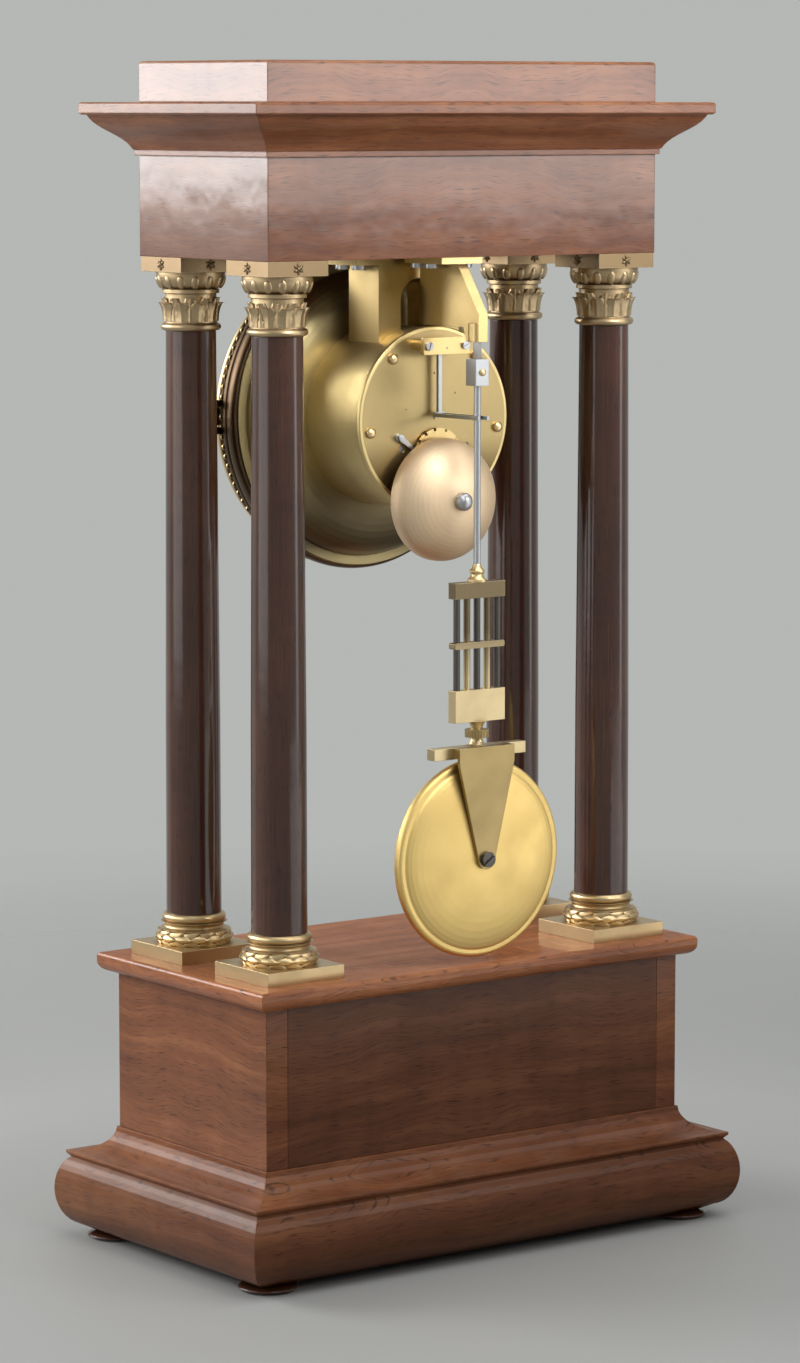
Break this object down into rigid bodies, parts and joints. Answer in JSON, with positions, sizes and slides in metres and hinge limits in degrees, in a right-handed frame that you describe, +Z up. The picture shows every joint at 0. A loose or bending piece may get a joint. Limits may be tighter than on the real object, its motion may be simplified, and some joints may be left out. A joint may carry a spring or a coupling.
{
  "type": "portico mantel clock",
  "caption": "Mahogany portico mantel clock: column temple case, hung striking drum movement behind a hinged glazed dial, bell and swinging gridiron pendulum.",
  "frame": {"origin": "centre of the footprint, on the table under the feet", "axes": "+Z up, -Y towards the dial side, +X to the right of someone who faces the dial"},
  "size_m": [0.2686, 0.1566, 0.52],
  "materials": {
    "mahogany": "figured mahogany veneer, French polished to a gloss",
    "dark_mahogany": "dark mahogany, turned and polished",
    "gilt": "gilt bronze, burnished on the high places",
    "brass": "lacquered brass, slightly aged",
    "bronze": "dark patinated spun brass",
    "steel": "polished steel with fine turning marks",
    "blued_steel": "heat-blued steel",
    "enamel": "white fired enamel",
    "glass": "clear domed glass"
  },
  "bodies": {
    "case": {"feet": "dark_mahogany", "plinth_moulding": "mahogany", "base_floor": "mahogany", "base_carcass": "mahogany", "base_back_board": "mahogany", "base_top": "mahogany", "column_bases": "gilt", "column_front_left": "dark_mahogany", "column_front_right": "dark_mahogany", "column_back_left": "dark_mahogany", "column_back_right": "dark_mahogany", "capitals": "gilt", "soffit_board": "mahogany", "frieze_box": "mahogany", "cornice": "mahogany", "attic": "mahogany", "hanger": "brass", "soffit_screws": "steel", "suspension_cock": "brass", "suspension_spring": "steel", "drum_case": "brass", "front_plate": "brass", "back_plate": "brass", "plate_pillars": "brass", "pallet_cock": "brass", "dial_cup": "bronze", "bezel_ring": "gilt", "bezel_hinge_pin": "steel", "dial": "enamel", "bell": "brass", "bell_stand": "steel"},
    "door": {"bezel_door": "gilt", "bezel_glass": "glass"},
    "centre": {"centre_wheel": "brass", "cannon_pinion": "steel", "minute_hand": "blued_steel"},
    "hour": {"hour_wheel": "brass", "hour_hand": "blued_steel"},
    "minute_work": {"minute_wheel": "brass"},
    "going_drive": {"going_barrel": "brass"},
    "going_key": {"going_winding_arbor": "steel"},
    "intermediate": {"intermediate_wheel": "brass"},
    "third": {"third_wheel": "brass"},
    "escape": {"escape_wheel": "brass"},
    "pallets": {"anchor": "steel", "crutch": "steel"},
    "pendulum": {"pendulum_rod": "steel", "gridiron_steel_rods": "steel", "gridiron_brass_rods": "brass", "gridiron_bars": "gilt", "bob": "gilt", "bob_bracket": "brass", "rating_nut": "brass"},
    "strike_drive": {"strike_barrel": "brass"},
    "strike_key": {"strike_winding_arbor": "steel"},
    "strike_second": {"strike_second_wheel": "brass", "count_wheel": "brass"},
    "strike_pins": {"pin_wheel": "brass"},
    "strike_fly": {"fly": "brass"},
    "hammer": {"hammer": "steel"}
  },
  "joints": [
    {"name": "door_swing", "type": "hinge", "parent": "case", "child": "door", "pos_m": [0.0724, -0.0465, 0.365], "axis": [0, 0, 1], "range_deg": [0, 100]},
    {"name": "hands_turn", "type": "hinge", "parent": "case", "child": "centre", "pos_m": [0, 0.0145, 0.365], "axis": [0, 1, 0], "continuous": true},
    {"name": "hour_turn", "type": "hinge", "parent": "case", "child": "hour", "pos_m": [0, -0.0205, 0.365], "axis": [0, 1, 0], "continuous": true},
    {"name": "minute_wheel_turn", "type": "hinge", "parent": "case", "child": "minute_work", "pos_m": [0, -0.0175, 0.377], "axis": [0, 1, 0], "continuous": true},
    {"name": "going_barrel_turn", "type": "hinge", "parent": "case", "child": "going_drive", "pos_m": [0.0175, -0.0095, 0.3525], "axis": [0, 1, 0], "continuous": true},
    {"name": "intermediate_turn", "type": "hinge", "parent": "case", "child": "intermediate", "pos_m": [0.01532, 0.011, 0.36946], "axis": [0, 1, 0], "continuous": true},
    {"name": "third_turn", "type": "hinge", "parent": "case", "child": "third", "pos_m": [-0.01144, 0.018, 0.37596], "axis": [0, 1, 0], "continuous": true},
    {"name": "escape_turn", "type": "hinge", "parent": "case", "child": "escape", "pos_m": [0, 0.006, 0.385], "axis": [0, 1, 0], "continuous": true},
    {"name": "going_key_turn", "type": "hinge", "parent": "case", "child": "going_key", "pos_m": [0.0175, -0.017, 0.3525], "axis": [0, 1, 0], "continuous": true},
    {"name": "pendulum_swing", "type": "hinge", "parent": "case", "child": "pendulum", "pos_m": [0, 0.056, 0.3963], "axis": [0, 1, 0], "range_deg": [-4, 4]},
    {"name": "anchor_rock", "type": "hinge", "parent": "case", "child": "pallets", "pos_m": [0, 0.028, 0.3963], "axis": [0, 1, 0], "range_deg": [-4, 4]},
    {"name": "strike_turn", "type": "hinge", "parent": "case", "child": "strike_second", "pos_m": [-0.00098, 0.011, 0.34807], "axis": [0, 1, 0], "continuous": true},
    {"name": "strike_barrel_turn", "type": "hinge", "parent": "case", "child": "strike_drive", "pos_m": [-0.0175, -0.0095, 0.3525], "axis": [0, 1, 0], "continuous": true},
    {"name": "pin_wheel_turn", "type": "hinge", "parent": "case", "child": "strike_pins", "pos_m": [0.0034, 0.016, 0.33605], "axis": [0, 1, 0], "continuous": true},
    {"name": "fly_turn", "type": "hinge", "parent": "case", "child": "strike_fly", "pos_m": [0.01232, 0.012, 0.33365], "axis": [0, 1, 0], "continuous": true},
    {"name": "strike_key_turn", "type": "hinge", "parent": "case", "child": "strike_key", "pos_m": [-0.0175, -0.017, 0.3525], "axis": [0, 1, 0], "continuous": true},
    {"name": "hammer_lift", "type": "hinge", "parent": "case", "child": "hammer", "pos_m": [-0.02, 0.018, 0.3345], "axis": [0, 1, 0], "range_deg": [-18, 0]}
  ],
  "couplings": [
    {"joint": "intermediate_turn", "follows": "hands_turn", "ratio": -0.16667},
    {"joint": "going_barrel_turn", "follows": "hands_turn", "ratio": 0.020833},
    {"joint": "third_turn", "follows": "hands_turn", "ratio": -10},
    {"joint": "escape_turn", "follows": "hands_turn", "ratio": 125},
    {"joint": "minute_wheel_turn", "follows": "hands_turn", "ratio": -0.33333},
    {"joint": "hour_turn", "follows": "hands_turn", "ratio": 0.083333},
    {"joint": "anchor_rock", "follows": "pendulum_swing", "ratio": 1},
    {"joint": "strike_barrel_turn", "follows": "strike_turn", "ratio": -0.125},
    {"joint": "pin_wheel_turn", "follows": "strike_turn", "ratio": -9},
    {"joint": "fly_turn", "follows": "strike_turn", "ratio": 90}
  ]
}
